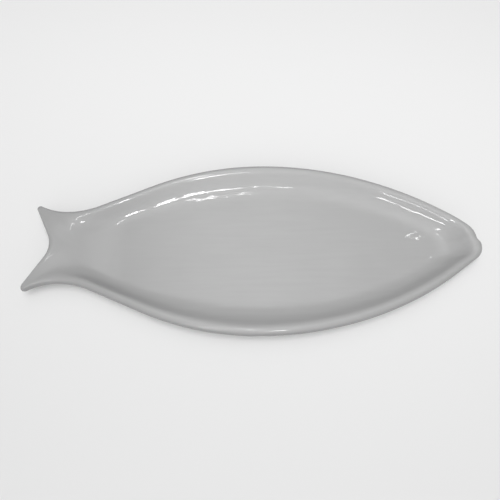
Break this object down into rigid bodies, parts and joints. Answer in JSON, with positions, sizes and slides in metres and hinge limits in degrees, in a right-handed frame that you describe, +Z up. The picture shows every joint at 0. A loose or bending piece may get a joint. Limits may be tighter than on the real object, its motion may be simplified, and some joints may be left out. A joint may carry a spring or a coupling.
{
  "type": "fish shaped platter",
  "caption": "Shallow fish-shaped glazed ceramic serving platter with a raised rim, a flared and notched tail, a blunt mouth and a foot ring.",
  "frame": {"origin": "on the surface that the platter stands on, under the middle of its bounding box", "axes": "+X along the platter toward the head's mouth, +Y across it, +Z up out of the well"},
  "size_m": [0.4998, 0.209, 0.024],
  "materials": {
    "fired_clay": "matte",
    "bare_foot": "matte",
    "glaze": "gloss"
  },
  "bodies": {
    "root": {"clay_body": "fired_clay", "foot_ring": "bare_foot", "glaze": "glaze"}
  },
  "joints": []
}
